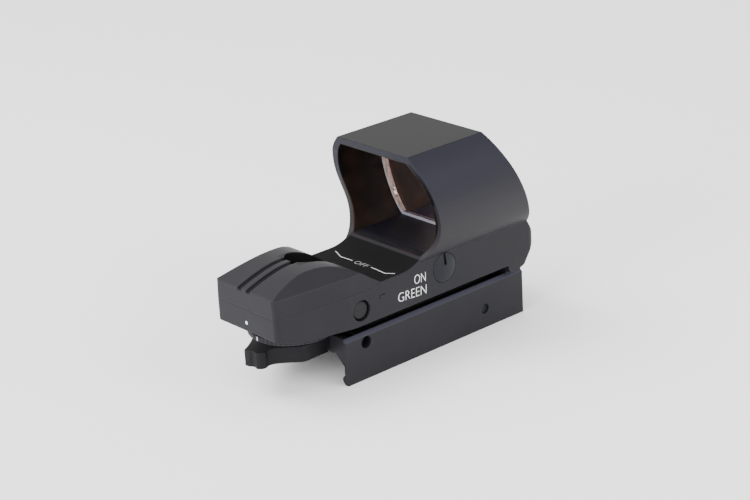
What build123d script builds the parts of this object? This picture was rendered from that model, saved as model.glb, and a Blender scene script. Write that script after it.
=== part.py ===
from build123d import *
import os
from math import cos, radians, sin, sqrt, tau

# Open reflex sight with a quick-release rail clamp, in millimetres.
# +X is the right side, +Y the muzzle side, +Z up. The origin is on the rail seat,
# in the middle of the clamp's length.

# ---- driving sizes: hood and body ----
HOOD_TOP_HALF = 12.75      # half width of the flat hood roof
HOOD_MAX_HALF = 18.27      # half width at the widest point of the hood
HOOD_MAX_Z = 33.1          # height of the widest point
HOOD_TOP_Z = 45.4          # top of the hood roof
HOOD_WALL = 1.9            # hood wall
WAIST_Z = 17.9             # crease between hood and body
BODY_HALF = 13.2           # half width of the body
BODY_BOTTOM_Z = 7.5        # underside of the body
DECK_Z = 16.8              # deck behind the hood
SEAM_Z = 16.2              # joint between body and emitter cover
FLOOR_Z = 19.2             # floor of the window opening
REAR_Y = -50.4             # rear end of the body and cover
REAR_HALF = 11.25          # half width at the rear end
TAPER_Y = -29.5            # where the sides start to draw in
NOSE_Y = 33.6              # foremost point of the nose
ROOF_REAR_Y = -8.3         # rear edge of the hood roof
ROOF_FRONT_Y = 16.7        # front edge of the hood roof
NOSE_CORNER_R = 2.5        # rounding of the nose's upright corners
REAR_CORNER_R = 1.2        # rounding of the rear upright corners
BODY_WALL = 1.6            # walls of the rear box
ROOM_Y0 = -47.8            # rear box, rear and front ends and floor
ROOM_Y1 = -22.9
ROOM_Z = 10.4

# ---- emitter cover ----
COVER_FRONT_Y = -19.0      # front end of the cover, on the deck
COVER_REAR_Z = 21.2        # top of the cover's rear face
COVER_CREST_Y = -37.2      # highest point of the cover
COVER_CREST_Z = 24.3
CHEEK_Z = 20.8             # where the sloped cheeks start
CHEEK_ANGLE = 47.0         # cheek slope from upright, degrees
SIDE_ANGLE = 3.0           # lean of the cover's sides, degrees
BAY_HALF = 4.5             # half width of the light channel
BAY_REAR_Y = -36.5         # rear end of the light channel
BAY_FLOOR_Z = 17.4
GROOVE_X = 1.6             # sighting grooves on the cover
GROOVE_W = 1.7
GROOVE_DEPTH = 0.7
COVER_WALL = 1.5

# ---- window glass ----
LENS_T = 1.8               # glass thickness
LENS_Y = 10.4              # glass centre at the height of the widest point
LENS_TILT = 9.5            # degrees, top towards the rear
SEAL_T = 0.8               # pale bond line around the glass

# ---- aiming light: arm, pivot and adjusters ----
ARM_HALF = 2.2
ARM_Z0 = 12.7
ARM_Z1 = 14.3
ARM_REAR_Y = -43.0
ARM_FRONT_Y = 22.0
PIVOT_Y = -15.0            # pivot of the arm
PIVOT_PIN_R = 0.5
YOKE_PEG_R = 1.2
PIVOT_GAP = 0.04           # running fits at the pivots
TUNNEL_HALF = 4.3          # arm tunnel under the deck
TUNNEL_Z0 = 12.2
TUNNEL_Z1 = 15.8
TUNNEL_FRONT_Y = 24.0
LED_R = 1.5
LED_L = 2.2
LED_Z = 19.6
WINDOW_R = 2.2             # small window in front of the lamp
WINDOW_T = 0.9
SCREW_HEAD_R = 3.8         # adjuster heads
SCREW_HEAD_T = 1.7
SCREW_DOME = 0.6
SCREW_SHANK_R = 1.1
ELEVATION_HEAD_T = 1.2     # thinner head in the window floor
SCREW_SLOT_W = 0.75
SCREW_SLOT_D = 0.8
SCREW_GAP = 0.12           # head in its recess
SHANK_GAP = 0.06           # running fit of the shank
WINDAGE_Y = 1.8
WINDAGE_Z = 14.0
ELEVATION_Y = 19.0
NUT_HALF = 2.2             # travelling nuts
NUT_GAP = 0.05
CLIP_R = 1.9
ARM_SPRING_R = 1.2
ARM_SPRING_Z0 = 9.2

# ---- buttons ----
BUTTON_Y = -25.7
BUTTON_Z = 11.4
BUTTON_R = 2.3
BUTTON_HOLE_R = 2.7
BUTTON_FLANGE_R = 3.1
BUTTON_SINK = 0.5          # face below the side wall
BUTTON_TRAVEL = 0.7
BUTTON_L = 2.6
MARK_Y = -19.9             # engraved corner mark
MARK_Z = 13.65
MARK_W = 0.35
MARK_D = 0.3

# ---- cell and cap ----
CELL_Y = -36.7
CELL_R = 8.0
CELL_T = 3.2
BOARD_Z0 = 10.45
BOARD_Z1 = 11.2
CAP_R = 11.0
CAP_Z0 = 6.8
CAP_Z1 = 8.3
CAP_SEAT_Z = 8.4
CAP_TUBE_R = 8.65
CAP_TUBE_T = 0.5
CAP_GAP = 0.1
LUG_R = 9.25
LUG_Z = 9.6
LUG_ANGLE = 34.0
LUG_COUNT = 3
KNURL_COUNT = 60
KNURL_R = 0.2
COIN_SLOT_W = 1.6
COIN_SLOT_D = 1.0

# ---- rail clamp ----
MOUNT_HALF = 11.9          # outer faces of the jaws
MOUNT_L = 60.4
MOUNT_TOP_Z = 4.7
MOUNT_EDGE = 0.9           # bevel along the top edge
JAW_BOTTOM_Z = -7.5
JAW_INNER = 6.5            # inner face of the jaws at the seat
PAD_HALF = 6.4             # pad that carries the body
PAD_REAR_Y = -25.2
PAD_FRONT_Y = 22.4
POCKET_D = 1.6             # pockets beside the pad
POCKET_HALF = 10.7
BLOCK_Y = 24.9             # rear face of the front block
BLOCK_Z = 5.4
RAIL_HALF = 10.6           # half width of a standard 21.2 mm rail
RAIL_TOP_HALF = 7.835
RAIL_GAP = 0.15
LIP = 0.7                  # how far the jaws reach under the rail
GUIDE_Z = 2.3
GUIDE_R = 1.0
DRAW_Y = -23.8
DRAW_Z = 2.15
DRAW_R = 1.25
DRAW_HEAD_R = 1.6
DRAW_HEAD_T = 1.9
DRAW_SINK = 2.4
RECOIL_Y = 16.4
RECOIL_Z = -2.3
RECOIL_R = 1.4
JAW_GAP = 0.08             # guide holes in the loose jaw
JAW_SLIP = 0.25            # between the loose jaw and the base
JAW_TRAVEL = 1.6
SPRING_R = 1.35
SPRING_WIRE_R = 0.2
SPRING_X1 = -1.5

# ---- lever ----
LEVER_Z0 = 0.1
LEVER_Z1 = 4.2
LEVER_PIN_R = 1.2
LEVER_SWING = 100.0
CAM_R = 4.15
CAM_GAP = 0.05
LEVER_X = -(MOUNT_HALF + CAM_R + CAM_GAP)
EYE_R = 2.3
EYE_T = 1.6
EYE_GAP = 0.1

# ---- screws ----
BASE_SCREW_Y = (-19.2, 8.0)
BASE_SCREW_R = 1.25
BASE_SCREW_HEAD_R = 2.3
COVER_SCREWS = ((-8.6, -21.0), (8.6, -21.0))
COVER_SCREW_R = 0.75
COVER_SCREW_HEAD_R = 1.4
COVER_POST_R = 1.5
COVER_POST_Z = 12.8

os.makedirs("parts", exist_ok=True)


def save(shape, name):
    export_step(shape, f"parts/{name}.step")


def box(x0, x1, y0, y1, z0, z1):
    """Block between two corners."""
    return Pos((x0 + x1) / 2, (y0 + y1) / 2, (z0 + z1) / 2) * Box(x1 - x0, y1 - y0, z1 - z0)


def rod(axis, centre, radius, start, end):
    """Cylinder along X, Y or Z from start to end; centre holds the other two places."""
    length = end - start
    middle = (start + end) / 2
    if axis == "X":
        return Pos(middle, *centre) * Rot(0, 90, 0) * Cylinder(radius, length)
    if axis == "Y":
        return Pos(centre[0], middle, centre[1]) * Rot(90, 0, 0) * Cylinder(radius, length)
    return Pos(*centre, middle) * Cylinder(radius, length)


def side_prism(outline, half):
    """Outline drawn in Y and Z, made solid across the width."""
    return extrude(make_face(Plane.YZ * outline), half, dir=(1, 0, 0), both=True)


def cross_prism(face, y0, y1):
    """Face drawn in X and Z, carried from y0 to y1."""
    plane = Plane((0, y0, 0), x_dir=(1, 0, 0), z_dir=(0, -1, 0))
    return extrude(plane * face, y1 - y0, dir=(0, 1, 0))


def upright(face, z0, z1):
    """Face drawn in X and Y, carried from z0 to z1."""
    return extrude(Pos(0, 0, z0) * face, z1 - z0, dir=(0, 0, 1))


def hood_face(inset, bottom):
    """Cross-section of the hood, moved inwards by inset and cut flat at bottom."""
    rise = HOOD_TOP_Z - HOOD_MAX_Z
    centre = (HOOD_MAX_HALF**2 - HOOD_TOP_HALF**2 - rise**2) / (2 * (HOOD_MAX_HALF - HOOD_TOP_HALF))
    radius = HOOD_MAX_HALF - centre - inset
    corner = centre + sqrt(radius**2 - (rise - inset) ** 2)
    wide = HOOD_MAX_HALF - inset
    waist = BODY_HALF - inset
    top = HOOD_TOP_Z - inset
    shoulder = (centre + radius * cos(radians(24)), HOOD_MAX_Z + radius * sin(radians(24)))
    belly = (wide - 0.17 * (wide - waist), HOOD_MAX_Z - 0.46 * (HOOD_MAX_Z - WAIST_Z))
    right = [
        ThreePointArc((corner, top), shoulder, (wide, HOOD_MAX_Z)),
        Spline((wide, HOOD_MAX_Z), belly, (waist, WAIST_Z), tangents=[(0, -1), (-1, -0.9)]),
    ]
    left = [mirror(edge, about=Plane.YZ) for edge in right]
    roof = Line((-corner, top), (corner, top))
    base = Line((-waist, WAIST_Z), (waist, WAIST_Z))
    face = make_face(Curve() + [roof, base] + right + left)
    if bottom > WAIST_Z:
        face = face & Pos(0, bottom + 20) * Rectangle(60, 40)
    return face


def plan_face(front, inset=0.0, extra=0.0):
    """Outline of the body from above: parallel sides, drawn in towards the rear."""
    slope = (BODY_HALF - REAR_HALF) / (TAPER_Y - REAR_Y)
    rear = REAR_Y + inset - extra
    side = BODY_HALF - inset
    end = side - slope * (TAPER_Y - rear)
    points = [(-side, front), (-side, TAPER_Y), (-end, rear), (end, rear), (side, TAPER_Y), (side, front)]
    return make_face(Polyline(*points, close=True))


def body_outline():
    """Side view of the body and hood."""
    rim = Spline(
        (-13.0, DECK_Z), (-8.0, 17.65), (-4.3, 20.1), (-2.6, 24.6), (-3.5, 29.8), (-5.15, 34.8), (-7.0, 40.3),
        (ROOF_REAR_Y, HOOD_TOP_Z), tangents=[(1, 0), (-0.18, 1)]
    )
    roof = Line(rim @ 1, (ROOF_FRONT_Y, HOOD_TOP_Z))
    front = Spline(roof @ 1, (21.4, 36.9), (27.3, 26.2), (31.2, WAIST_Z), tangents=[(0.55, -1), (0.45, -1)])
    nose_low = BLOCK_Z + 0.05
    nose = Spline(
        front @ 1, (NOSE_Y, 12.6), (NOSE_Y - 2.9, 7.5), (26.2, nose_low),
        tangents=[(0.5, -1), (-1, -0.1)]
    )
    under = Polyline(
        nose @ 1, (24.6, nose_low), (24.0, BODY_BOTTOM_Z), (-27.0, BODY_BOTTOM_Z), (-44.8, 8.7),
        (REAR_Y, 10.6), (REAR_Y, SEAM_Z), (-22.5, SEAM_Z), (COVER_FRONT_Y, DECK_Z), (-13.0, DECK_Z)
    )
    return Curve() + [rim, roof, front, nose, under]


def cover_outline():
    """Side view of the emitter cover."""
    back = Line((REAR_Y, SEAM_Z), (REAR_Y, COVER_REAR_Z))
    ramp = Spline(back @ 1, (-43.6, 23.4), (COVER_CREST_Y, COVER_CREST_Z), tangents=[(1, 0.4), (1, 0)])
    slope = Spline(
        ramp @ 1, (-31.0, 23.6), (-25.0, 20.8), (COVER_FRONT_Y - 0.5, DECK_Z + 0.25),
        tangents=[(1, 0), (1, -0.6)]
    )
    foot = Polyline(slope @ 1, (COVER_FRONT_Y, DECK_Z), (-22.5, SEAM_Z), (REAR_Y, SEAM_Z))
    return Curve() + [back, ramp, slope, foot]


def bay_cut():
    """Channel that lets the light out of the cover."""
    centre_y = BAY_REAR_Y + BAY_HALF
    end = rod("Z", (0, centre_y), BAY_HALF, BAY_FLOOR_Z, 40.0)
    return end + box(-BAY_HALF, BAY_HALF, centre_y, 0.0, BAY_FLOOR_Z, 40.0)


def lug_ring(radius_in, radius_out, z0, z1, angle, turned):
    """Equal sectors of a ring, spread round the cap's axis."""
    ring = rod("Z", (0, 0), radius_out, z0, z1) - rod("Z", (0, 0), radius_in, z0 - 1, z1 + 1)
    rays = [(20 * cos(radians(a)), 20 * sin(radians(a))) for a in (-angle / 2, 0, angle / 2)]
    one = ring & upright(make_face(Polyline((0, 0), *rays, close=True)), z0, z1)
    lugs = [Rot(0, 0, turned + 360.0 / LUG_COUNT * i) * one for i in range(LUG_COUNT)]
    return Pos(0, CELL_Y, 0) * (lugs[0] + lugs[1] + lugs[2])


def upright_rear_edges(shape):
    """Upright edges at the rear face."""
    picked = []
    for edge in shape.edges():
        a, b = edge.position_at(0), edge.position_at(1)
        if abs(a.Y - REAR_Y) < 0.01 and abs(b.Y - REAR_Y) < 0.01 and abs(a.Z - b.Z) > 2.0:
            picked.append(edge)
    return picked


def housing():
    hood = cross_prism(hood_face(0.0, WAIST_Z), -16.0, 40.0)
    body = upright(plan_face(NOSE_Y + 0.6), 5.0, WAIST_Z)
    body = fillet(body.edges().filter_by(Axis.Z).group_by(Axis.Y)[-1], NOSE_CORNER_R)
    shape = (hood + body) & side_prism(body_outline(), 30.0)
    shape = fillet(upright_rear_edges(shape), REAR_CORNER_R)
    # window opening, right through
    shape -= cross_prism(hood_face(HOOD_WALL, FLOOR_Z), -20.0, 40.0)
    # rear box under the cover
    shape -= upright(plan_face(ROOM_Y1, BODY_WALL), ROOM_Z, 20.0) & box(-30, 30, ROOM_Y0, ROOM_Y1, 0, 30)
    # tunnel for the arm, with room for the travelling nuts
    shape -= box(-TUNNEL_HALF, TUNNEL_HALF, ROOM_Y1 - 1, TUNNEL_FRONT_Y, TUNNEL_Z0, TUNNEL_Z1)
    near = NUT_HALF + 0.1
    shape -= box(3.0, 8.6, WINDAGE_Y - near, WINDAGE_Y + near, WINDAGE_Z - near, WINDAGE_Z + near)
    shape -= box(-near, near, ELEVATION_Y - near, ELEVATION_Y + near, TUNNEL_Z0, 17.1)
    shape -= rod("Z", (0, ELEVATION_Y), ARM_SPRING_R + 0.4, ARM_SPRING_Z0, TUNNEL_Z0 + 0.1)
    # adjuster seats
    seat = BODY_HALF - SCREW_HEAD_T - 0.1
    shape -= rod("X", (WINDAGE_Y, WINDAGE_Z), SCREW_HEAD_R + SCREW_GAP, seat, 20.0)
    shape -= rod("X", (WINDAGE_Y, WINDAGE_Z), SCREW_SHANK_R + SHANK_GAP, 8.0, seat + 1)
    seat = FLOOR_Z - ELEVATION_HEAD_T - 0.1
    shape -= rod("Z", (0, ELEVATION_Y), SCREW_HEAD_R + SCREW_GAP, seat, 24.0)
    shape -= rod("Z", (0, ELEVATION_Y), SCREW_SHANK_R + SHANK_GAP, 16.5, seat + 1)
    # pivot hole for the arm's yoke
    shape -= rod("Z", (0, PIVOT_Y), YOKE_PEG_R + PIVOT_GAP, 10.6, TUNNEL_Z0 + 0.1)
    # button holes
    for side in (-1, 1):
        shape -= rod("X", (BUTTON_Y, BUTTON_Z), BUTTON_HOLE_R, *sorted((side * 9.0, side * 20.0)))
        ends = sorted((side * 7.3, side * (BODY_HALF - BODY_WALL)))
        shape -= rod("X", (BUTTON_Y, BUTTON_Z), BUTTON_FLANGE_R + 0.15, *ends)
    # engraved corner mark ahead of the right button
    shape -= box(BODY_HALF - MARK_D, 20, MARK_Y, MARK_Y + 1.8, MARK_Z - MARK_W, MARK_Z)
    shape -= box(BODY_HALF - MARK_D, 20, MARK_Y, MARK_Y + MARK_W, MARK_Z - 1.15, MARK_Z)
    # cell cap: seat, bore, groove for the lugs and their entries
    cut = rod("Z", (0, CELL_Y), CAP_TUBE_R + CAP_GAP, 8.0, 11.0)
    cut += lug_ring(CAP_TUBE_R - 0.5, LUG_R + CAP_GAP, 8.2, LUG_Z + 0.4, LUG_ANGLE + 4.0, 60.0)
    cut += rod("Z", (0, CELL_Y), LUG_R + CAP_GAP, LUG_Z - 0.1, 11.5)
    shape -= cut + rod("Z", (0, CELL_Y), CAP_R + 0.2, 4.0, CAP_SEAT_Z)
    # screw holes from the clamp and for the cover
    for y in BASE_SCREW_Y:
        shape -= rod("Z", (0, y), BASE_SCREW_R, 5.0, 11.2)
    for place in COVER_SCREWS:
        cut = rod("Z", place, COVER_SCREW_R + 0.1, 8.0, COVER_POST_Z)
        cut += rod("Z", place, COVER_SCREW_HEAD_R + 0.1, 5.0, 9.2)
        shape -= cut + rod("Z", place, COVER_POST_R + 0.1, COVER_POST_Z - 0.1, SEAM_Z + 1.0)
    return max(shape.solids(), key=lambda solid: solid.volume)


def emitter_cover():
    plan = plan_face(-8.0, extra=8.0)
    low = extrude(Pos(0, 0, SEAM_Z) * plan, CHEEK_Z - SEAM_Z, taper=SIDE_ANGLE)
    top_face = low.faces().sort_by(Axis.Z)[-1]
    high = extrude(top_face, 5.0, taper=CHEEK_ANGLE)
    shape = (low + high) & side_prism(cover_outline(), 30.0)
    shape = fillet(upright_rear_edges(shape), REAR_CORNER_R)
    shape -= bay_cut()
    # sighting grooves up the ramp
    floor = side_prism(Pos(0, -GROOVE_DEPTH) * cover_outline(), 30.0)
    for side in (-1, 1):
        x = side * GROOVE_X
        strip = box(x - GROOVE_W / 2, x + GROOVE_W / 2, REAR_Y - 1, BAY_REAR_Y + 1.5, SEAM_Z + 2, 40)
        shape -= strip - floor
    # hollow over the lamp, and the hole for the lamp's window
    room = side_prism(Pos(0, -COVER_WALL - GROOVE_DEPTH) * cover_outline(), 30.0)
    shape -= room & box(-6.0, 6.0, ROOM_Y0, BAY_REAR_Y - 1.4, SEAM_Z - 1, 40)
    shape -= rod("Y", (0, LED_Z), WINDOW_R, BAY_REAR_Y - 1.1, BAY_REAR_Y + 2.0)
    shape -= rod("Y", (0, LED_Z), WINDOW_R - 0.5, BAY_REAR_Y - 3.0, BAY_REAR_Y)
    # screw posts and locating tongue
    for place in COVER_SCREWS:
        shape += rod("Z", place, COVER_POST_R, COVER_POST_Z, SEAM_Z + 0.6)
        shape -= rod("Z", place, COVER_SCREW_R, COVER_POST_Z - 1, SEAM_Z - 0.3)
    return shape + box(-7.0, 7.0, ROOM_Y0 + 0.1, ROOM_Y0 + 1.1, SEAM_Z - 1.6, SEAM_Z + 0.5)


def glass_slab(thickness):
    """Tilted slab across the window opening."""
    return Pos(0, LENS_Y, HOOD_MAX_Z) * Rot(LENS_TILT, 0, 0) * Box(60, thickness, 60)


def glass_room(extra):
    return cross_prism(hood_face(HOOD_WALL + extra, FLOOR_Z + extra), -20.0, 40.0)


def adjuster(surface, head_t, shank_end, slot_end):
    """Slotted adjuster standing on Z: domed head, shank and tool slot."""
    top = surface + SCREW_DOME
    low = surface - head_t
    side = Polyline((0, shank_end), (SCREW_SHANK_R, shank_end), (SCREW_SHANK_R, low), (SCREW_HEAD_R, low),
                    (SCREW_HEAD_R, surface))
    bulge = (0.6 * SCREW_HEAD_R, surface + 0.64 * SCREW_DOME)
    dome = ThreePointArc(side @ 1, bulge, (0, top))
    profile = make_face(Plane.XZ * (Curve() + [side, dome, Line((0, top), (0, shank_end))]))
    half = SCREW_SLOT_W / 2
    slot = box(-SCREW_HEAD_R - 1, slot_end, -half, half, top - SCREW_SLOT_D, top + 1)
    return revolve(profile, Axis.Z) - slot


def clip(axis, place, start, end):
    """Retaining ring pressed on an adjuster's shank."""
    return rod(axis, place, CLIP_R, start, end) - rod(axis, place, SCREW_SHANK_R, start - 1, end + 1)


def emitter_arm():
    middle = (ARM_Z0 + ARM_Z1) / 2
    arm = box(-ARM_HALF, ARM_HALF, ARM_REAR_Y, ARM_FRONT_Y, ARM_Z0, ARM_Z1)
    arm += box(-1.6, 1.6, ARM_REAR_Y, ARM_REAR_Y + 2.4, ARM_Z1 - 0.1, LED_Z + 1.3)
    arm -= rod("X", (PIVOT_Y, middle), PIVOT_PIN_R + PIVOT_GAP, -5, 5)
    for y0, y1 in ((-38.0, PIVOT_Y - 3), (PIVOT_Y + 3, WINDAGE_Y - 3), (WINDAGE_Y + 3, ELEVATION_Y - 4)):
        arm -= box(-1.2, 1.2, y0, y1, ARM_Z0 + 0.9, ARM_Z1 + 1)
    return arm


def pivot_yoke():
    middle = (ARM_Z0 + ARM_Z1) / 2
    yoke = box(-3.4, 3.4, PIVOT_Y - 2.0, PIVOT_Y + 2.0, TUNNEL_Z0 + 0.05, ARM_Z1 + 0.6)
    yoke -= box(-ARM_HALF - 0.12, ARM_HALF + 0.12, PIVOT_Y - 3, PIVOT_Y + 3, TUNNEL_Z0 + 0.35, 20)
    yoke -= rod("X", (PIVOT_Y, middle), PIVOT_PIN_R, -5, 5)
    return yoke + rod("Z", (0, PIVOT_Y), YOKE_PEG_R, 10.7, TUNNEL_Z0 + 0.1)


def button(side):
    face = BODY_HALF - BUTTON_SINK
    shape = rod("X", (BUTTON_Y, BUTTON_Z), BUTTON_R, face - BUTTON_L, face)
    shape = chamfer(shape.edges().sort_by(Axis.X)[-1], 0.25)
    flange_x = BODY_HALF - BODY_WALL - 0.03
    shape += rod("X", (BUTTON_Y, BUTTON_Z), BUTTON_FLANGE_R, face - BUTTON_L - 0.8, flange_x)
    return shape if side > 0 else mirror(shape, about=Plane.YZ)


def push_switches():
    """One small push switch behind each button, on the circuit board."""
    x1 = BODY_HALF - BUTTON_SINK - BUTTON_L - 0.8 - BUTTON_TRAVEL - 0.1
    one = box(x1 - 1.3, x1, BUTTON_Y - 1.2, BUTTON_Y + 1.2, BOARD_Z1, 12.6)
    return Compound(children=[one, mirror(one, about=Plane.YZ)])


def battery_cap():
    flange = rod("Z", (0, CELL_Y), CAP_R, CAP_Z0, CAP_Z1)
    flange = chamfer(flange.edges().group_by(Axis.Z)[0], 0.3)
    flange -= [
        Pos(CAP_R * cos(tau * i / KNURL_COUNT), CELL_Y + CAP_R * sin(tau * i / KNURL_COUNT), CAP_Z0)
        * Cylinder(KNURL_R, 6) for i in range(KNURL_COUNT)
    ]
    half = COIN_SLOT_W / 2
    flange -= box(-6.0, 6.0, CELL_Y - half, CELL_Y + half, CAP_Z0 - 1, CAP_Z0 + COIN_SLOT_D)
    tube = rod("Z", (0, CELL_Y), CAP_TUBE_R, CAP_Z1, 10.2)
    tube -= rod("Z", (0, CELL_Y), CAP_TUBE_R - CAP_TUBE_T, CAP_Z1 + 0.6, 12)
    tube -= Pos(0, CELL_Y, CAP_Z1 + 0.3) * Torus(CAP_TUBE_R - 0.15, 0.24)
    return flange + tube + lug_ring(CAP_TUBE_R - 0.2, LUG_R, LUG_Z, 10.2, LUG_ANGLE, 0.0)


def jaw_face(top):
    """Section of the right jaw, drawn in X and Z."""
    wide = RAIL_HALF + RAIL_GAP
    lip = RAIL_HALF - LIP
    drop = RAIL_HALF - RAIL_TOP_HALF
    points = [
        (JAW_INNER, 0.2), (RAIL_TOP_HALF + RAIL_GAP - 0.1, 0.2), (wide, RAIL_GAP - drop), (wide, -4.9),
        (lip, -4.9 - (wide - lip)), (lip, -6.6), (lip + 0.9, JAW_BOTTOM_Z), (MOUNT_HALF, JAW_BOTTOM_Z),
        (MOUNT_HALF, MOUNT_TOP_Z - MOUNT_EDGE), (MOUNT_HALF - MOUNT_EDGE, top), (JAW_INNER, top),
    ]
    return make_face(Polyline(*points, close=True))


def mount_base():
    half_l = MOUNT_L / 2
    left = -JAW_INNER + JAW_SLIP
    shape = cross_prism(jaw_face(MOUNT_TOP_Z), -half_l, half_l)
    shape += box(left, JAW_INNER + 0.01, -half_l, half_l, 0.0, MOUNT_TOP_Z)
    shape += box(left, MOUNT_HALF - 0.35, BLOCK_Y, half_l, MOUNT_TOP_Z - 0.01, BLOCK_Z)
    shape -= box(PAD_HALF, POCKET_HALF, -half_l + 1.8, BLOCK_Y, MOUNT_TOP_Z - POCKET_D, 20)
    shape += box(PAD_HALF - 0.1, POCKET_HALF + 0.1, DRAW_Y - 2.6, DRAW_Y + 2.6, 2.0, MOUNT_TOP_Z)
    shape += box(left, PAD_HALF, PAD_REAR_Y, PAD_FRONT_Y, MOUNT_TOP_Z - 0.01, BODY_BOTTOM_Z)
    # draw bolt with its sunk head, recoil pin, guide pin and its spring
    shape -= rod("X", (DRAW_Y, DRAW_Z), DRAW_R + 0.05, -20, 20)
    shape -= rod("X", (DRAW_Y, DRAW_Z), DRAW_HEAD_R, MOUNT_HALF - DRAW_SINK - DRAW_HEAD_T, 20)
    shape -= rod("X", (RECOIL_Y, RECOIL_Z), RECOIL_R, RAIL_HALF - 5, MOUNT_HALF + 1)
    shape -= rod("X", (RECOIL_Y, GUIDE_Z), GUIDE_R, -20, 1.5)
    shape -= rod("X", (RECOIL_Y, GUIDE_Z), SPRING_R + 0.5, -20, SPRING_X1)
    # relief in the seat over the recoil pin
    shape -= box(left - 1, JAW_INNER + 0.1, RECOIL_Y - 2.4, RECOIL_Y + 2.4, -1, 0.4)
    for y in BASE_SCREW_Y:
        shape -= rod("Z", (0, y), BASE_SCREW_R + 0.1, -1, 20)
        shape -= rod("Z", (0, y), BASE_SCREW_HEAD_R + 0.1, -1, 1.9)
    return shape


def movable_jaw():
    half_l = MOUNT_L / 2
    shape = mirror(cross_prism(jaw_face(MOUNT_TOP_Z - 0.25), -half_l, half_l), about=Plane.YZ)
    shape -= rod("X", (DRAW_Y, DRAW_Z), DRAW_R + JAW_GAP, -20, 0)
    shape -= rod("X", (RECOIL_Y, RECOIL_Z), RECOIL_R + JAW_GAP, -20, 0)
    return shape - rod("X", (RECOIL_Y, GUIDE_Z), GUIDE_R + JAW_GAP, -20, 0)


def draw_bolt():
    head_x = MOUNT_HALF - DRAW_SINK
    head = rod("X", (DRAW_Y, DRAW_Z), DRAW_HEAD_R, head_x - DRAW_HEAD_T, head_x)
    socket = Plane((head_x, DRAW_Y, DRAW_Z), z_dir=(1, 0, 0)) * RegularPolygon(0.95, 6)
    head -= extrude(socket, 1.0, dir=(-1, 0, 0))
    shank = rod("X", (DRAW_Y, DRAW_Z), DRAW_R, LEVER_X + 1.6, head_x - DRAW_HEAD_T)
    for z0, z1 in ((-5, DRAW_Z - EYE_T / 2), (DRAW_Z + EYE_T / 2, 10)):
        shank -= box(-30, -MOUNT_HALF + 0.1, -60, 0, z0, z1)
    eye = rod("Z", (LEVER_X, DRAW_Y), EYE_R, DRAW_Z - EYE_T / 2, DRAW_Z + EYE_T / 2)
    return head + shank + eye - rod("Z", (LEVER_X, DRAW_Y), LEVER_PIN_R + PIVOT_GAP, -5, 10)


def cam_points():
    """Cam that lets the jaw out evenly as the lever swings."""
    rate = JAW_TRAVEL / radians(LEVER_SWING)
    points = []
    for step in range(11):
        turn = radians(LEVER_SWING) * step / 10
        reach = CAM_R - rate * turn
        points.append((reach * cos(turn) + rate * sin(turn), reach * sin(turn) - rate * cos(turn)))
    return points


def qd_lever():
    heel = (-3.7, -3.4)
    cam = Spline(*cam_points())
    tail = Spline(cam @ 1, (-3.3, -0.6), heel, tangents=[cam % 1, (0, -1)])
    hub = make_face(Curve() + [cam, tail, Line(tail @ 1, cam @ 0)])
    behind = -MOUNT_L / 2 - 0.5 - DRAW_Y
    inner = Polyline((3.0, -1.0), (3.75, -1.6), (3.75, behind), (21.7, behind), (21.9, -13.0))
    bend = Spline(inner @ 1, (20.2, -16.6), (17.4, -20.3), (17.1, -22.0), tangents=[(0, -1), (0.1, -1)])
    lobe = ThreePointArc(bend @ 1, (17.35, -24.1), (16.2, -24.9))
    notch = ThreePointArc(lobe @ 1, (15.1, -24.55), (14.0, -25.1))
    corner = Line(notch @ 1, (12.6, -25.4))
    outside = Spline(corner @ 1, (9.4, -20.6), (1.0, -11.5), heel, tangents=[(-0.5, 1), (0, 1)])
    blade = make_face(Curve() + [inner, bend, lobe, notch, corner, outside, Line(outside @ 1, inner @ 0)])
    place = Pos(LEVER_X, DRAW_Y)
    shape = upright(place * hub, LEVER_Z0, LEVER_Z1) + upright(place * blade, LEVER_Z0, LEVER_Z1)
    low = DRAW_Z - EYE_T / 2 - EYE_GAP
    high = DRAW_Z + EYE_T / 2 + EYE_GAP
    shape -= rod("Z", (LEVER_X, DRAW_Y), EYE_R + 0.25, low, high)
    shape -= box(LEVER_X - 2.3, LEVER_X + 5.0, DRAW_Y - 1.6, DRAW_Y + 8, low, high)
    return shape - rod("Z", (LEVER_X, DRAW_Y), LEVER_PIN_R, -5, 10)


def coil(place, radius, wire, height, turns):
    """Round wire spring standing on place."""
    path = Helix(pitch=height / turns, height=height, radius=radius)
    section = Plane(path @ 0, z_dir=path % 0) * Circle(wire)
    return place * sweep(section, path=path)


def base_screws():
    screws = []
    for y in BASE_SCREW_Y:
        one = rod("Z", (0, y), BASE_SCREW_R, 1.8, 11.0) + rod("Z", (0, y), BASE_SCREW_HEAD_R, 0.3, 1.8)
        screws.append(one - upright(Pos(0, y) * RegularPolygon(1.2, 6), 0.2, 1.2))
    return Compound(children=screws)


def cover_screws():
    screws = []
    for x, y in COVER_SCREWS:
        one = rod("Z", (x, y), COVER_SCREW_R, 9.1, SEAM_Z - 0.4)
        one += rod("Z", (x, y), COVER_SCREW_HEAD_R, 8.0, 9.2)
        screws.append(one - box(x - 2, x + 2, y - 0.2, y + 0.2, 7.8, 8.5))
    return Compound(children=screws)


def leaf_spring():
    """Bowed strip that keeps the arm against the sideways adjuster."""
    reach = 14.8
    centre = (-ARM_HALF - 0.3 - reach, WINDAGE_Y)
    ring = rod("Z", centre, reach, 12.9, 14.6) - rod("Z", centre, reach - 0.25, 12, 15)
    return ring & box(-TUNNEL_HALF + 0.02, 0, WINDAGE_Y - 9, WINDAGE_Y + 9, 12, 15)


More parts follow.
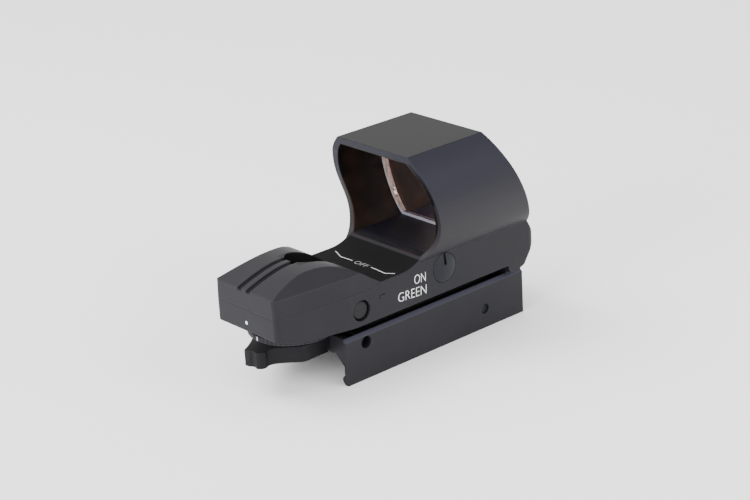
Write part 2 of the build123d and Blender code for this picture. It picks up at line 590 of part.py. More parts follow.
def main():
    save(housing(), "housing")
    save(emitter_cover(), "emitter_cover")
    save(glass_room(SEAL_T) & glass_slab(LENS_T), "window_glass")
    seal = (glass_room(0.0) & glass_slab(LENS_T + 0.6)) - glass_room(SEAL_T)
    save(seal - box(-5.4, -4.3, 9.0, LENS_Y + 1.2, 18, FLOOR_Z + SEAL_T + 0.1), "window_seal")

    save(emitter_arm(), "emitter_arm")
    led_y = ARM_REAR_Y + 2.4
    tip_y = led_y + LED_L - LED_R
    led = rod("Y", (0, LED_Z), LED_R, led_y, tip_y)
    led += Pos(0, tip_y, LED_Z) * Sphere(LED_R) & box(-5, 5, tip_y - 0.1, 0, 0, 40)
    save(led, "led_lamp")
    save(box(-1.0, 1.0, led_y, -38.2, ARM_Z1, ARM_Z1 + 0.15), "led_ribbon")
    glass_y = BAY_REAR_Y - 1.05
    save(rod("Y", (0, LED_Z), WINDOW_R - 0.03, glass_y, glass_y + WINDOW_T), "lamp_window")
    save(pivot_yoke(), "pivot_yoke")
    save(rod("X", (PIVOT_Y, (ARM_Z0 + ARM_Z1) / 2), PIVOT_PIN_R, -3.4, 3.4), "pitch_pin")

    place = (WINDAGE_Y, WINDAGE_Z)
    sideways = Pos(0, *place) * Rot(0, 90, 0)
    save(sideways * adjuster(BODY_HALF, SCREW_HEAD_T, 3.3, -0.9), "windage_screw")
    save(clip("X", place, 7.6, 8.2), "windage_clip")
    nut = box(ARM_HALF + NUT_GAP, 6.0, WINDAGE_Y - NUT_HALF, WINDAGE_Y + NUT_HALF, 12.4, 15.6)
    save(nut - rod("X", place, SCREW_SHANK_R + SHANK_GAP, 3.0, 10), "windage_nut")
    save(leaf_spring(), "windage_spring")

    place = (0, ELEVATION_Y)
    screw = adjuster(FLOOR_Z, ELEVATION_HEAD_T, 15.35, SCREW_HEAD_R + 1)
    save(Pos(*place) * screw, "elevation_screw")
    save(clip("Z", place, 16.75, 17.05), "elevation_clip")
    nut = box(-NUT_HALF, NUT_HALF, ELEVATION_Y - NUT_HALF, ELEVATION_Y + NUT_HALF, ARM_Z1 + NUT_GAP, 16.35)
    save(nut - rod("Z", place, SCREW_SHANK_R + SHANK_GAP, 14.95, 20), "elevation_nut")
    length = ARM_Z0 - 0.6 - ARM_SPRING_Z0
    save(coil(Pos(0, ELEVATION_Y, ARM_SPRING_Z0 + 0.2), ARM_SPRING_R, 0.18, length, 4), "elevation_spring")

    save(button(1), "green_button")
    save(button(-1), "red_button")
    save(box(-8.4, 8.4, -28.0, -23.4, BOARD_Z0, BOARD_Z1), "circuit_board")
    save(push_switches(), "push_switches")
    save(rod("Z", (0, CELL_Y), CELL_R, 8.95, 8.95 + CELL_T), "coin_cell")
    contact = box(-1.5, 1.5, -38.0, -24.4, 12.16, 12.36) + box(-1.5, 1.5, -24.6, -24.4, BOARD_Z1, 12.36)
    save(contact, "cell_contact")
    save(battery_cap(), "battery_cap")
    save(Pos(0, CELL_Y, CAP_Z1 + 0.3) * Torus(CAP_TUBE_R - 0.15, 0.22), "cap_ring")

    save(mount_base(), "mount_base")
    save(movable_jaw(), "movable_jaw")
    save(draw_bolt(), "draw_bolt")
    save(rod("X", (RECOIL_Y, RECOIL_Z), RECOIL_R, -MOUNT_HALF + 0.6, MOUNT_HALF - 0.6), "recoil_pin")
    save(rod("X", (RECOIL_Y, GUIDE_Z), GUIDE_R, -MOUNT_HALF + 0.6, 1.5), "guide_pin")
    spring_x0 = -JAW_INNER + 0.2
    spring = coil(Rot(0, 90, 0), SPRING_R, SPRING_WIRE_R, SPRING_X1 - spring_x0 - 0.5, 5)
    save(Pos(spring_x0 + 0.2, RECOIL_Y, GUIDE_Z) * spring, "jaw_spring")
    save(rod("Z", (LEVER_X, DRAW_Y), LEVER_PIN_R, LEVER_Z0 + 0.1, LEVER_Z1 - 0.1), "lever_pin")
    save(qd_lever(), "qd_lever")
    save(base_screws(), "base_screws")
    save(cover_screws(), "cover_screws")


main()
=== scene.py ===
import math

import bpy
from mathutils import Matrix, Vector


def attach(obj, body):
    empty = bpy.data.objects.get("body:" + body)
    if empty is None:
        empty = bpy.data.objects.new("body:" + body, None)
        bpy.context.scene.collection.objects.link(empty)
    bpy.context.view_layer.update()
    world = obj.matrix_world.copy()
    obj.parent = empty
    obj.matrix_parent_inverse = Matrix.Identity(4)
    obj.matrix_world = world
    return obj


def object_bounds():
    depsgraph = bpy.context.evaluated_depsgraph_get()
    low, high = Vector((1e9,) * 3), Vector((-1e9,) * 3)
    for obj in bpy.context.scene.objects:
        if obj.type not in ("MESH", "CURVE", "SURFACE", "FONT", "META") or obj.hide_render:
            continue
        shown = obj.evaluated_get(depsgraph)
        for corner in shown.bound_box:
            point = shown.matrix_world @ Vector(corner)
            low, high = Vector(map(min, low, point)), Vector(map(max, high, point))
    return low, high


bl_info = {
    "name": "Reflex Sight Looks",
    "version": (1, 0, 0),
    "blender": (4, 5, 0),
    "location": "View3D > Sidebar > Sight",
    "description": "Finishes, legends and studio for an open reflex sight",
    "category": "Object",
}

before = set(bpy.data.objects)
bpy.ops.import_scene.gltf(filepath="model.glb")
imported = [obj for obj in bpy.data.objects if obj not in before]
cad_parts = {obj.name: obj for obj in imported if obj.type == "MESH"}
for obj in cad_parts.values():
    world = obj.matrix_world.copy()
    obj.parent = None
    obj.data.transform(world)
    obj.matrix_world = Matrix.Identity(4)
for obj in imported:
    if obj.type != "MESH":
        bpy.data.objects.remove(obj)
CAD_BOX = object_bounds()
MM = 0.001

# Shapes that the finishes follow, in millimetres.
HOOD_CENTRE_X = 1.8
HOOD_CENTRE_Z = 33.1
HOOD_INNER_R = 14.57
HOOD_REAR_Y = -9.0
BELLY_X = 8.0
BELLY_REACH = 8.37
BELLY_DEPTH = 15.7
FLOOR_Z = 19.2
ROOF_Z = 45.4
SIDE_X = 13.2
DECK_Z = 16.8
COVER_FRONT_Y = -19.0
SEAM_Z = 16.2
SEAM_HALF = 0.11
CHANNEL_HALF = 4.53
CHANNEL_REAR_Y = -36.6
REAR_Y = -50.4
CAP_Y = -36.7
CAP_R = 11.0
INDEX_Z = 12.7
INDEX_R = 0.45

BLACK_SHEEN = 0.14     # specular level of the black finishes
SOFT_SHEEN = 0.15      # specular level of rubber

FINISH_NODES = {
    "black_alloy": ("housing", "emitter_cover", "battery_cap", "mount_base", "movable_jaw", "qd_lever"),
    "plain_alloy": ("emitter_arm", "pivot_yoke"),
    "bright_steel": ("pitch_pin", "windage_clip", "elevation_clip", "windage_spring", "elevation_spring",
                     "guide_pin", "jaw_spring", "lever_pin"),
    "black_steel": ("windage_screw", "elevation_screw", "draw_bolt", "recoil_pin", "base_screws",
                    "cover_screws"),
    "brass": ("windage_nut", "elevation_nut", "cell_contact"),
    "rubber": ("green_button", "red_button", "cap_ring"),
    "switch_plastic": ("push_switches",),
    "board": ("circuit_board", "led_ribbon"),
    "lamp": ("led_lamp",),
    "bond": ("window_seal",),
    "cell_steel": ("coin_cell",),
    "window": ("window_glass",),
    "lamp_glass": ("lamp_window",),
}


class Alloy(bpy.types.PropertyGroup):
    """Colours of the sight's metal, with the painted shade, reflections and highlights laid on it."""

    black: bpy.props.FloatVectorProperty(
        name="Black finish", description="Colour of the black anodised metal", subtype="COLOR", size=3,
        min=0.0, max=1.0, default=(0.0125, 0.0122, 0.0148))
    # painted shade: the hood's inner walls, painted darker than the black finish
    inside: bpy.props.FloatVectorProperty(
        name="Inside of the hood", description="Colour of the hood's inner walls", subtype="COLOR", size=3,
        min=0.0, max=1.0, default=(0.0035, 0.0022, 0.0018))
    # painted reflections: warm patches on the hood's inner walls
    warm_reflections: bpy.props.FloatVectorProperty(
        name="Warm patches", description="Colour of the warm patches on the inner walls", subtype="COLOR",
        size=3, min=0.0, max=1.0, default=(0.014, 0.0062, 0.004))
    # painted shade: the window floor behind the glass, painted darker than the black finish
    floor: bpy.props.FloatVectorProperty(
        name="Window floor", description="Colour of the floor behind the glass", subtype="COLOR", size=3,
        min=0.0, max=1.0, default=(0.0055, 0.0055, 0.009))
    # painted light: the floor in front of the glass, painted lighter and bluish as if lit from the front
    far_floor_light: bpy.props.FloatVectorProperty(
        name="Floor in front of the glass", description="Colour of the floor in front of the glass",
        subtype="COLOR", size=3, min=0.0, max=1.0, default=(0.022, 0.025, 0.042))
    # painted shade in the light channel; the same colour draws the cover's dark seam
    shadow: bpy.props.FloatVectorProperty(
        name="Shadow lines", description="Colour of the light channel and the cover's seam", subtype="COLOR",
        size=3, min=0.0, max=1.0, default=(0.0012, 0.0012, 0.0016))
    # painted highlight: the clamp's top bevel, painted lighter and bluish
    bevel: bpy.props.FloatVectorProperty(
        name="Clamp bevel", description="Colour of the bevel along the clamp", subtype="COLOR", size=3,
        min=0.0, max=1.0, default=(0.032, 0.032, 0.046))
    screw: bpy.props.FloatVectorProperty(
        name="Black steel", description="Colour of screws and pins", subtype="COLOR", size=3,
        min=0.0, max=1.0, default=(0.012, 0.0135, 0.018))
    roughness: bpy.props.FloatProperty(
        name="Roughness", description="Roughness of the black finish", min=0.05, max=1.0, default=0.46)


class Legends(bpy.types.PropertyGroup):
    """Sizes and colour of the white legends."""

    paint: bpy.props.FloatVectorProperty(
        name="Paint", description="Colour of the legends", subtype="COLOR", size=3,
        min=0.0, max=1.0, default=(0.72, 0.73, 0.74))
    letter_height: bpy.props.FloatProperty(
        name="Letter height", description="Height of the side legends", subtype="DISTANCE", unit="LENGTH",
        min=0.0005, max=0.01, default=0.0024)
    film: bpy.props.FloatProperty(
        name="Paint film", description="Thickness of the legends", subtype="DISTANCE", unit="LENGTH",
        min=0.00001, max=0.0005, default=0.00004)


class Studio(bpy.types.PropertyGroup):
    """Light and floor of the studio."""

    floor_colour: bpy.props.FloatVectorProperty(
        name="Floor", description="Colour of the floor", subtype="COLOR", size=3,
        min=0.0, max=1.0, default=(0.95, 0.95, 0.955))
    sky: bpy.props.FloatProperty(
        name="Sky", description="Strength of the light from all round", min=0.0, max=5.0, default=1.6)
    key: bpy.props.FloatProperty(
        name="Key light", description="Power of the main lamp", unit="POWER", min=0.0, max=200.0, default=6.0)


class Sock:
    """A shader socket, or a number, that takes part in plain Python arithmetic."""

    def __init__(self, tree, value):
        self.tree = tree
        self.value = value

    def _math(self, operation, *others):
        values = [self.value] + [o.value if isinstance(o, Sock) else o for o in others]
        return node(self.tree, "ShaderNodeMath", {"operation": operation}, dict(enumerate(values)))

    def __add__(self, other):
        return self._math("ADD", other)

    __radd__ = __add__

    def __mul__(self, other):
        return self._math("MULTIPLY", other)

    __rmul__ = __mul__

    def __sub__(self, other):
        return self._math("SUBTRACT", other)

    def __rsub__(self, other):
        return Sock(self.tree, other)._math("SUBTRACT", self)

    def __truediv__(self, other):
        return self._math("DIVIDE", other)

    def __gt__(self, other):
        return self._math("GREATER_THAN", other)

    def __lt__(self, other):
        return self._math("LESS_THAN", other)

    def root(self):
        return self._math("SQRT")

    def size(self):
        return self._math("ABSOLUTE")

    def either(self, other):
        return self._math("MAXIMUM", other)

    def step(self, low, high):
        """0 below low, 1 above high, smooth between."""
        settings = {"interpolation_type": "SMOOTHSTEP", "clamp": True}
        links = {"Value": self, "From Min": low, "From Max": high, "To Min": 0.0, "To Max": 1.0}
        return node(self.tree, "ShaderNodeMapRange", settings, links, "Result")


def node(tree, kind, settings=None, sockets=None, output=0):
    """Adds a node, its settings first, then the values or links of its sockets."""
    made = tree.nodes.new(kind)
    for name, value in (settings or {}).items():
        setattr(made, name, value)
    for name, value in (sockets or {}).items():
        value = value.value if isinstance(value, Sock) else value
        if isinstance(value, bpy.types.NodeSocket):
            tree.links.new(value, made.inputs[name])
        else:
            made.inputs[name].default_value = value
    return Sock(tree, made.outputs[output])


def mix(tree, factor, a, b):
    """Colour between a and b."""
    colours = [c if isinstance(c, Sock) else (*c, 1.0) for c in (a, b)]
    return node(tree, "ShaderNodeMix", {"data_type": "RGBA"}, {0: factor, 6: colours[0], 7: colours[1]}, 2)


def new_material(name):
    """Empty material with a Principled shader; gives tree and shader."""
    material = bpy.data.materials.new(name)
    material.use_nodes = True
    tree = material.node_tree
    return material, tree, tree.nodes["Principled BSDF"]


def feed(tree, shader, **sockets):
    """Sets or links the shader's sockets; underscores stand for spaces."""
    for name, value in sockets.items():
        socket = shader.inputs[name.replace("_", " ")]
        if isinstance(value, Sock):
            tree.links.new(value.value, socket)
        else:
            socket.default_value = value


def place(tree, scale=1000.0):
    """Object coordinates in millimetres, as a vector and as x, y, z."""
    raw = node(tree, "ShaderNodeTexCoord", output="Object")
    vector = node(tree, "ShaderNodeVectorMath", {"operation": "SCALE"}, {0: raw, "Scale": scale})
    split = tree.nodes.new("ShaderNodeSeparateXYZ")
    tree.links.new(vector.value, split.inputs[0])
    return vector, [Sock(tree, out) for out in split.outputs]


def stretch(tree, vector, x, y, z):
    """Vector scaled unevenly."""
    return node(tree, "ShaderNodeVectorMath", {"operation": "MULTIPLY"}, {0: vector, 1: (x, y, z)})


def noise(tree, vector, scale, detail=3.0, roughness=0.5):
    links = {"Vector": vector, "Scale": scale, "Detail": detail, "Roughness": roughness}
    return node(tree, "ShaderNodeTexNoise", None, links)


def soft_edges(tree, radius_mm, height, strength, distance=0.00002):
    """Normal with small rounded edges and a fine grain."""
    edges = node(tree, "ShaderNodeBevel", {"samples": 6}, {"Radius": radius_mm * MM}, "Normal")
    links = {"Strength": strength, "Distance": distance, "Height": height, "Normal": edges}
    return node(tree, "ShaderNodeBump", None, links, "Normal")


def inner_wall(z):
    """Half width of the hood's inner wall at height z, and whether z is above the widest point."""
    rise = z - HOOD_CENTRE_Z
    upper = HOOD_CENTRE_X + (HOOD_INNER_R**2 - rise * rise).root()
    drop = rise / BELLY_DEPTH
    lower = BELLY_X + BELLY_REACH * (1.0 - drop * drop).root()
    above = rise > 0.0
    return upper * above + lower * (1.0 - above) + 0.2 + (1.0 - above) * 0.5, above


def times(colour, *factors):
    """Colour scaled by one factor, or by one for each of red, green and blue."""
    factors = factors * 3 if len(factors) == 1 else factors
    return [c * k for c, k in zip(colour, factors)]


def hood_inside(tree, look, vector, xyz, inner):
    """Painted shade on the hood's inner walls and floor, painted warm reflections on the walls, painted light
    on the floor in front of the glass, and where they are.
    """
    x, y, z = xyz
    walls = (x.size() < inner) * (z > 19.0) * (z < 43.7) * (y > HOOD_REAR_Y)
    floor = (z < FLOOR_Z + 0.4) * (y > -5.2) * (z > FLOOR_Z - 0.8) * (x.size() < 12.4)
    # painted reflections: warm patches scattered over the inner walls
    patches = noise(tree, vector, 0.12, 1.0).step(0.42, 0.66)
    colour = mix(tree, patches, look.inside, look.warm_reflections)
    # painted shade on the floor behind the glass
    colour = mix(tree, floor, colour, look.floor)
    # painted light on the floor in front of the glass
    colour = mix(tree, floor * (y > 12.0), colour, look.far_floor_light)
    return colour, walls.either(floor)


def hood_outside(tree, look, xyz, inner, above, body):
    """Painted light on the hood: painted shade on the rim's right side and on the lever, a painted sheen
    warmer where the hood swells and cooler towards the roof, painted shade on the roof.
    """
    x, y, z = xyz
    behind = (y < 1.0) * (y > HOOD_REAR_Y)
    # painted shade on the right side of the hood's rim
    rim_shade = (x > 5.0) * (x < inner + 1.3 - (1.0 - above) * 1.2) * (z > 19.0) * (z < 43.6) * behind
    body = mix(tree, rim_shade, body, times(look.black, 0.1))
    # painted shade: the lever under the body, painted darker
    lever = (z < 4.3) * (y < -31.0)
    body = mix(tree, lever, body, times(look.black, 0.45))
    hood = (z > 18.5) * (y > HOOD_REAR_Y)
    # painted sheen: the hood's side painted warmer and lighter where it swells low, cooler towards the roof
    warm = times(look.black, 1.5, 1.42, 1.35)
    cool = times(look.black, 0.85, 0.88, 1.2)
    body = mix(tree, hood * (1.0 - rim_shade), body, mix(tree, z.step(25.0, 39.0), warm, cool))
    # painted shade: the roof, painted darker
    return mix(tree, z > ROOF_Z - 0.1, body, times(look.black, 0.2))


def dark_places(tree, look, xyz, body):
    """Painted shade in the light channel and in the gap over the clamp, the cover's dark seam, and a painted
    highlight on the clamp's bevel.
    """
    x, y, z = xyz
    # painted shade in the light channel
    channel = (x.size() < CHANNEL_HALF) * (z > 17.3) * (y > CHANNEL_REAR_Y) * (y < COVER_FRONT_Y)
    seam = ((z - SEAM_Z).size() < SEAM_HALF) * (y < -22.0)
    body = mix(tree, channel.either(seam), body, look.shadow)
    # painted highlight along the clamp's top bevel
    bevel = (z > 3.78) * (z < 4.75) * (x > 10.95) * (x < 11.88) * (y < 31.0) * (y > -31.0)
    body = mix(tree, bevel, body, look.bevel)
    # painted shade: the gap between the body and the clamp, painted near black
    gap_shade = (z > 2.6) * (z < 7.45) * (x.size() < 10.75) * (y > -29.0) * (y < 24.8)
    return mix(tree, gap_shade, body, (0.0025, 0.0025, 0.0028))


def paint_fills(tree, xyz, colour):
    """Paint-filled index dot on the rear face and tick on the cell cap."""
    x, y, z = xyz
    low = z - INDEX_Z
    index = ((x * x + low * low).root() < INDEX_R) * (y < REAR_Y + 0.1)
    tick = (x.size() < 0.22) * (y < CAP_Y - CAP_R + 0.3) * (z > 7.0) * (z < 8.1)
    return mix(tree, index.either(tick), colour, (0.7, 0.71, 0.72))


def edge_highlights(tree, look, inside, colour):
    """Painted highlights: edges painted a little lighter."""
    rounded = node(tree, "ShaderNodeBevel", {"samples": 6}, {"Radius": 0.3 * MM}, "Normal")
    flat = node(tree, "ShaderNodeNewGeometry", output="Normal")
    turned = node(tree, "ShaderNodeVectorMath", {"operation": "DOT_PRODUCT"}, {0: rounded, 1: flat}, "Value")
    # painted highlight along the edges, kept out of the hood
    edge_light = (1.0 - turned).step(0.004, 0.06) * 0.5 * (1.0 - inside)
    return mix(tree, edge_light, colour, times(look.black, 2.6))


def black_alloy(look):
    """Satin black anodised metal: fine grain, painted shade inside the hood and in its dark places, painted
    sheen on the hood, painted highlights along the edges.
    """
    material, tree, shader = new_material("black_alloy")
    vector, (x, y, z) = place(tree)
    grain = noise(tree, vector, 9.0, 4.0, 0.6)
    cloud = noise(tree, vector, 0.09, 2.0)
    streak = noise(tree, stretch(tree, vector, 3.2, 0.05, 3.2), 1.0, 3.0)
    tone = grain * 0.4 + cloud * 0.5 + streak * 0.1
    body = mix(tree, tone.step(0.3, 0.75), times(look.black, 0.9), times(look.black, 1.12))
    # painted shade: the deck and ramp behind the hood are painted darker, and they take less polish, so they
    # are rougher
    deck = (z > DECK_Z - 0.05) * (z < 20.5) * (y > COVER_FRONT_Y - 0.2) * (y < -3.0) * (x.size() < 12.9)
    body = mix(tree, deck, body, times(look.black, 0.2))
    inner, above = inner_wall(z)
    body = hood_outside(tree, look, (x, y, z), inner, above, body)
    body = dark_places(tree, look, (x, y, z), body)
    # painted shade and painted reflections inside the hood, laid over the body colour
    lining, inside = hood_inside(tree, look, vector, (x, y, z), inner)
    colour = paint_fills(tree, (x, y, z), mix(tree, inside, body, lining))
    colour = edge_highlights(tree, look, inside, colour)
    rough = grain * 0.1 + streak * 0.02 + (look.roughness - 0.06) + deck * 0.4
    normal = soft_edges(tree, 0.42, grain, 0.2)
    feed(tree, shader, Base_Color=colour, Roughness=rough, Metallic=0.0,
         Specular_IOR_Level=BLACK_SHEEN, Normal=normal)
    return material


def plain_metal(name, colour, roughness, metallic, streaks=0.35):
    """Machined metal with fine turning streaks."""
    material, tree, shader = new_material(name)
    vector, _ = place(tree)
    lines = noise(tree, stretch(tree, vector, 1.0, 6.0, 6.0), 1.2, 4.0)
    grain = noise(tree, vector, 6.0, 3.0)
    low = [c * (1.0 - streaks) for c in colour]
    shade = mix(tree, (lines * 0.6 + grain * 0.4).step(0.35, 0.7), low, colour)
    rough = lines * 0.12 + grain * 0.08 + (roughness - 0.1)
    normal = soft_edges(tree, 0.12, lines, 0.15)
    feed(tree, shader, Base_Color=shade, Roughness=rough, Metallic=metallic, Normal=normal)
    if metallic == 0.0:
        feed(tree, shader, Specular_IOR_Level=BLACK_SHEEN)
    return material


def rubber(name, colour):
    """Matt moulded rubber with a fine pebble."""
    material, tree, shader = new_material(name)
    vector, _ = place(tree)
    pebble = noise(tree, vector, 5.0, 5.0, 0.65)
    shade = mix(tree, pebble.step(0.3, 0.75), [c * 0.75 for c in colour], [c * 1.25 for c in colour])
    normal = soft_edges(tree, 0.2, pebble, 0.3)
    feed(tree, shader, Base_Color=shade, Roughness=pebble * 0.15 + 0.5,
         Specular_IOR_Level=SOFT_SHEEN, Normal=normal)
    return material


def board():
    """Lacquered green board with copper tracks under the lacquer."""
    material, tree, shader = new_material("board")
    vector, (x, y, _) = place(tree)
    links = {"Vector": vector, "Scale": 0.55, "Distortion": 0.0}
    lanes = node(tree, "ShaderNodeTexWave", {"wave_type": "BANDS", "bands_direction": "X"}, links, "Fac")
    tracks = lanes.step(0.78, 0.82) * (noise(tree, vector, 0.4, 1.0).step(0.48, 0.52))
    shade = mix(tree, tracks, (0.008, 0.075, 0.028), (0.03, 0.16, 0.06))
    links = {"Strength": 0.25, "Distance": 0.00003, "Height": tracks}
    normal = node(tree, "ShaderNodeBump", None, links, "Normal")
    feed(tree, shader, Base_Color=shade, Roughness=0.3 + tracks * 0.05, Normal=normal)
    return material


def window_glass():
    """Clear coated glass with a faint warm cast."""
    material, tree, shader = new_material("window")
    feed(tree, shader, Base_Color=(0.93, 0.86, 0.84, 1.0), Roughness=0.015, IOR=1.5, Transmission_Weight=1.0,
         Coat_Weight=0.3, Coat_Roughness=0.03, Coat_Tint=(1.0, 0.72, 0.62, 1.0))
    vector, _ = place(tree)
    haze = noise(tree, vector, 0.4, 2.0)
    feed(tree, shader, Roughness=haze * 0.02 + 0.008)
    return material


def lamp_plastic(name, colour, transmission):
    """Clear tinted plastic of the small optics."""
    material, tree, shader = new_material(name)
    vector, _ = place(tree)
    cloud = noise(tree, vector, 1.4, 2.0)
    shade = mix(tree, cloud.step(0.3, 0.7), [c * 0.88 for c in colour], colour)
    feed(tree, shader, Base_Color=shade, Roughness=cloud * 0.06 + 0.05, IOR=1.49,
         Transmission_Weight=transmission)
    return material


def bond():
    """Pale bond line and ground edge round the glass, with a painted bluish reflection on its lower part."""
    material, tree, shader = new_material("bond")
    vector, (x, y, z) = place(tree)
    smear = noise(tree, vector, 0.7, 4.0)
    shade = mix(tree, smear.step(0.3, 0.75), (0.30, 0.245, 0.235), (0.52, 0.47, 0.46))
    # painted reflection: the lower part of the bond, painted bluish
    cool = (z < 21.4) * 0.75
    shade = mix(tree, cool, shade, (0.26, 0.26, 0.34))
    links = {"Strength": 0.3, "Distance": 0.00005, "Height": smear}
    normal = node(tree, "ShaderNodeBump", None, links, "Normal")
    feed(tree, shader, Base_Color=shade, Roughness=smear * 0.15 + 0.3, Subsurface_Weight=0.0, Normal=normal)
    return material


def paint(colour, name="legend_paint"):
    """White paint, slightly rubbed."""
    material, tree, shader = new_material(name)
    vector, _ = place(tree)
    wear = noise(tree, vector, 2.2, 4.0)
    shade = mix(tree, wear.step(0.25, 0.6), [c * 0.72 for c in colour], colour)
    feed(tree, shader, Base_Color=shade, Roughness=wear * 0.2 + 0.45)
    return material


def dress(material, nodes):
    """Gives CAD nodes a material in every slot."""
    for name in nodes:
        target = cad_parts[name]
        if not target.material_slots:
            target.data.materials.append(material)
        for held in target.material_slots:
            held.link = "OBJECT"
            held.material = material


def deselect():
    if bpy.context.object and bpy.context.object.mode != "OBJECT":
        bpy.ops.object.mode_set(mode="OBJECT")
    bpy.ops.object.select_all(action="DESELECT")


def settle(piece):
    """Puts the piece's place into its mesh."""
    deselect()
    piece.select_set(True)
    bpy.context.view_layer.objects.active = piece
    bpy.ops.object.transform_apply(location=True, rotation=True, scale=True)


def raised(piece, film):
    """Gives a flat, closed outline its small thickness."""
    bpy.ops.object.mode_set(mode="EDIT")
    bpy.ops.mesh.select_all(action="SELECT")
    bpy.ops.mesh.remove_doubles(threshold=0.000001)
    bpy.ops.mesh.normals_make_consistent(inside=False)
    bpy.ops.object.mode_set(mode="OBJECT")
    thick = piece.modifiers.new("film", "SOLIDIFY")
    thick.thickness = film
    thick.offset = 0.0
    bpy.ops.object.modifier_apply(modifier=thick.name)


def word(text, name, height, width, matrix, film, body, material):
    """A word of given height and width, its middle and facing given by matrix."""
    deselect()
    bpy.ops.object.text_add()
    piece = bpy.context.object
    piece.data.body = text
    piece.data.align_x = "CENTER"
    piece.data.align_y = "CENTER"
    piece.data.resolution_u = 6
    piece.data.offset = -0.014
    bpy.ops.object.convert(target="MESH")
    piece = bpy.context.object
    piece.name = name
    size = piece.dimensions.copy()
    centre = sum((Vector(corner) for corner in piece.bound_box), Vector()) / 8.0
    scale = Matrix.Diagonal((width / size.x, height / size.y, 1.0, 1.0))
    piece.matrix_world = matrix @ scale @ Matrix.Translation(-centre)
    settle(piece)
    raised(piece, film)
    finish_piece(piece, body, material)
    return piece


def finish_piece(piece, body, material):
    piece.data.materials.clear()
    piece.data.materials.append(material)
    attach(piece, body)


def facing(centre, right, up):
    """Matrix whose X runs along right and Y along up, centred at centre in millimetres."""
    right = Vector(right).normalized()
    up = Vector(up).normalized()
    out = right.cross(up)
    turn = Matrix((right, up, out)).transposed().to_4x4()
    return Matrix.Translation(Vector(centre) * MM) @ turn


def ribbon(name, points, width, lift, film, body, material):
    """Thin painted line through points, each (x, y, z) in millimetres, drawn on a level face."""
    strips = []
    for first, second in zip(points, points[1:]):
        first, second = Vector(first) * MM, Vector(second) * MM
        run = second - first
        deselect()
        bpy.ops.mesh.primitive_plane_add(size=1.0)
        strip = bpy.context.object
        turn = Matrix.Rotation(math.atan2(run.y, run.x), 4, "Z")
        stretch_to = Matrix.Diagonal((run.length + width * 0.6, width, 1.0, 1.0))
        middle = (first + second) / 2 + Vector((0, 0, lift * (1 + len(strips))))
        strip.matrix_world = Matrix.Translation(middle) @ turn @ stretch_to
        settle(strip)
        strips.append(strip)
    deselect()
    for strip in strips:
        strip.select_set(True)
    bpy.context.view_layer.objects.active = strips[0]
    bpy.ops.object.join()
    piece = bpy.context.object
    piece.name = name
    raised(piece, film)
    finish_piece(piece, body, material)
    return piece


class SIGHT_OT_alloy(bpy.types.Operator):
    """Finish the black anodised pieces"""

    bl_idname = "sight.alloy"
    bl_label = "Black alloy"

    def execute(self, context):
        dress(black_alloy(context.scene.sight_alloy), FINISH_NODES["black_alloy"])
        return {"FINISHED"}


class SIGHT_OT_small_metal(bpy.types.Operator):
    """Finish screws, pins, springs and the small metal inside"""

    bl_idname = "sight.small_metal"
    bl_label = "Small metal pieces"

    def execute(self, context):
        look = context.scene.sight_alloy
        dress(plain_metal("plain_alloy", (0.55, 0.56, 0.58), 0.34, 1.0), FINISH_NODES["plain_alloy"])
        dress(plain_metal("bright_steel", (0.5, 0.5, 0.52), 0.28, 1.0), FINISH_NODES["bright_steel"])
        dress(plain_metal("black_steel", tuple(look.screw), 0.42, 0.0), FINISH_NODES["black_steel"])
        dress(plain_metal("brass", (0.62, 0.42, 0.16), 0.3, 1.0), FINISH_NODES["brass"])
        dress(plain_metal("cell_steel", (0.6, 0.6, 0.6), 0.22, 1.0, 0.12), FINISH_NODES["cell_steel"])
        return {"FINISHED"}


class SIGHT_OT_soft_parts(bpy.types.Operator):
    """Finish buttons, seals, switches and the circuit board"""

    bl_idname = "sight.soft_parts"
    bl_label = "Buttons, seals and board"

    def execute(self, context):
        dress(rubber("rubber", (0.013, 0.013, 0.0145)), FINISH_NODES["rubber"])
        dress(rubber("switch_plastic", (0.03, 0.03, 0.032)), FINISH_NODES["switch_plastic"])
        dress(board(), FINISH_NODES["board"])
        return {"FINISHED"}


class SIGHT_OT_optics(bpy.types.Operator):
    """Finish the window, its bond line, the lamp and the lamp's window"""

    bl_idname = "sight.optics"
    bl_label = "Optics"

    def execute(self, context):
        dress(window_glass(), FINISH_NODES["window"])
        dress(bond(), FINISH_NODES["bond"])
        dress(lamp_plastic("lamp", (0.75, 0.16, 0.13), 0.6), FINISH_NODES["lamp"])
        dress(lamp_plastic("lamp_glass", (0.75, 0.78, 0.82), 1.0), FINISH_NODES["lamp_glass"])
        return {"FINISHED"}


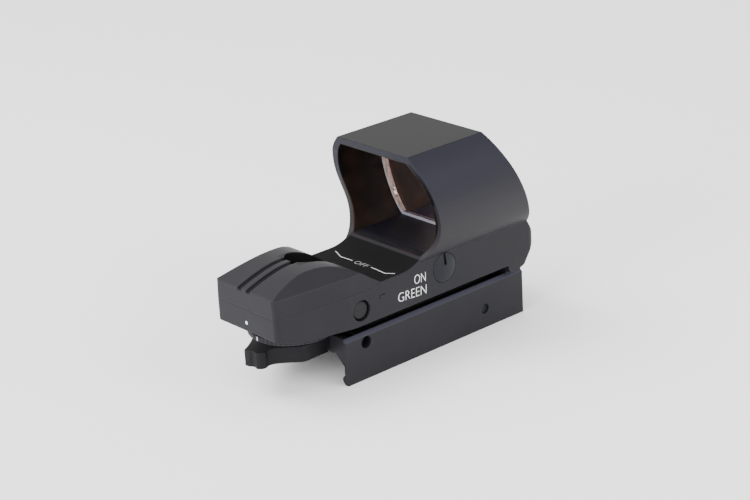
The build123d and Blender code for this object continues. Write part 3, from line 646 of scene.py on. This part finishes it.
class SIGHT_OT_legends(bpy.types.Operator):
    """Paint the plain switch words and the bracket on the deck"""

    bl_idname = "sight.legends"
    bl_label = "Legends"

    def execute(self, context):
        look = context.scene.sight_legends
        white = paint(look.paint)
        film = look.film
        tall = look.letter_height
        for side, colour_word, tag in ((1, "GREEN", "right"), (-1, "RED", "left")):
            face = side * (SIDE_X + 0.012)
            along = (0, side, -0.055 * side)
            upward = (0, 0.055, 1)
            length = 9.4 if side > 0 else 5.8
            matrix = facing((face, -9.2, 10.65), along, upward)
            word(colour_word, f"legend_colour_{tag}", tall, length * MM, matrix, film, "sight", white)
            matrix = facing((face, -6.45, 13.8), along, upward)
            word("ON", f"legend_on_{tag}", tall, 3.8 * MM, matrix, film, "sight", white)
        # painted shade: the OFF on the shaded deck is drawn in darker paint
        shaded_white = paint([c * 0.45 for c in look.paint], "shaded_paint")
        lift = 0.012 * MM
        line = 0.2 * MM
        left = ((-10.5, -13.1, DECK_Z), (-6.8, -14.7, DECK_Z), (-2.6, -14.5, DECK_Z))
        right = ((4.4, -14.4, DECK_Z), (9.9, -14.8, DECK_Z), (11.8, -13.4, DECK_Z))
        ribbon("deck_line_left", left, line, lift, film, "sight", white)
        ribbon("deck_line_right", right, line, lift, film, "sight", white)
        matrix = facing((0.95, -14.55, DECK_Z + 0.012), (1, 0, 0), (0, 1, 0))
        word("OFF", "legend_off", 1.6 * MM, 4.6 * MM, matrix, film, "sight", shaded_white)
        return {"FINISHED"}


class SIGHT_OT_studio(bpy.types.Operator):
    """Floor, lights, sky and camera"""

    bl_idname = "sight.studio"
    bl_label = "Studio"

    def execute(self, context):
        look = context.scene.sight_studio
        deselect()
        bpy.ops.mesh.primitive_plane_add(size=6.0, location=(0, 0, CAD_BOX[0][2] - 0.00001))
        floor = context.object
        floor.name = "floor"
        material, tree, shader = new_material("floor_paper")
        vector, _ = place(tree, 1.0)
        fibre = noise(tree, vector, 60.0, 3.0)
        shade = mix(tree, fibre, [c * 0.995 for c in look.floor_colour], look.floor_colour)
        feed(tree, shader, Base_Color=shade, Roughness=0.9, Specular_IOR_Level=0.1)
        floor.data.materials.append(material)

        world = bpy.data.worlds.new("studio_sky")
        context.scene.world = world
        world.use_nodes = True
        back = world.node_tree.nodes["Background"]
        back.inputs["Color"].default_value = (1.0, 1.0, 1.0, 1.0)
        back.inputs["Strength"].default_value = look.sky
        target = Vector((0.0, -0.008, 0.018))
        lamps = (
            ("key_lamp", (-0.35, -0.35, 0.75), 0.5, look.key),
            ("side_lamp", (0.75, 0.25, 0.35), 0.5, look.key * 0.8),
            ("rear_lamp", (0.1, -0.85, 0.3), 0.45, look.key * 1.2),
        )
        for name, spot, size, power in lamps:
            deselect()
            bpy.ops.object.light_add(type="AREA", location=spot)
            lamp = context.object
            lamp.name = name
            lamp.data.size = size
            lamp.data.energy = power
            lamp.rotation_euler = (target - Vector(spot)).to_track_quat("-Z", "Y").to_euler()
        bpy.ops.object.camera_add()
        camera = context.object
        camera.name = "camera"
        right = Vector((0.6658, 0.7442, -0.0551))
        up = Vector((-0.2407, 0.2842, 0.9282))
        back_way = right.cross(up).normalized()
        up = back_way.cross(right.normalized())
        turn = Matrix((right.normalized(), up, back_way)).transposed().to_4x4()
        camera.matrix_world = Matrix.Translation(Vector((0.3488, -0.3077, 0.2005))) @ turn
        camera.data.sensor_width = 36.0
        camera.data.lens = 95.6
        camera.data.clip_start = 0.01
        context.scene.camera = camera
        return {"FINISHED"}


OPERATORS = (SIGHT_OT_alloy, SIGHT_OT_small_metal, SIGHT_OT_soft_parts, SIGHT_OT_optics, SIGHT_OT_legends,
             SIGHT_OT_studio)


class SIGHT_PT_panel(bpy.types.Panel):
    """Lists the steps and settings of the sight's looks"""

    bl_idname = "SIGHT_PT_panel"
    bl_label = "Reflex sight"
    bl_space_type = "VIEW_3D"
    bl_region_type = "UI"
    bl_category = "Sight"

    def draw(self, context):
        for group in ("sight_alloy", "sight_legends", "sight_studio"):
            held = getattr(context.scene, group)
            column = self.layout.column()
            for name in held.bl_rna.properties.keys():
                if name not in ("rna_type", "name"):
                    column.prop(held, name)
        for operator in OPERATORS:
            self.layout.operator(operator.bl_idname)


GROUPS = (("sight_alloy", Alloy), ("sight_legends", Legends), ("sight_studio", Studio))


def register():
    for name, group in GROUPS:
        bpy.utils.register_class(group)
        setattr(bpy.types.Scene, name, bpy.props.PointerProperty(type=group))
    for operator in OPERATORS:
        bpy.utils.register_class(operator)
    bpy.utils.register_class(SIGHT_PT_panel)


def unregister():
    bpy.utils.unregister_class(SIGHT_PT_panel)
    for operator in reversed(OPERATORS):
        bpy.utils.unregister_class(operator)
    for name, group in reversed(GROUPS):
        delattr(bpy.types.Scene, name)
        bpy.utils.unregister_class(group)


def main():
    register()
    for operator in OPERATORS:
        family, step = operator.bl_idname.split(".")
        getattr(getattr(bpy.ops, family), step)()


if __name__ == "__main__":
    main()
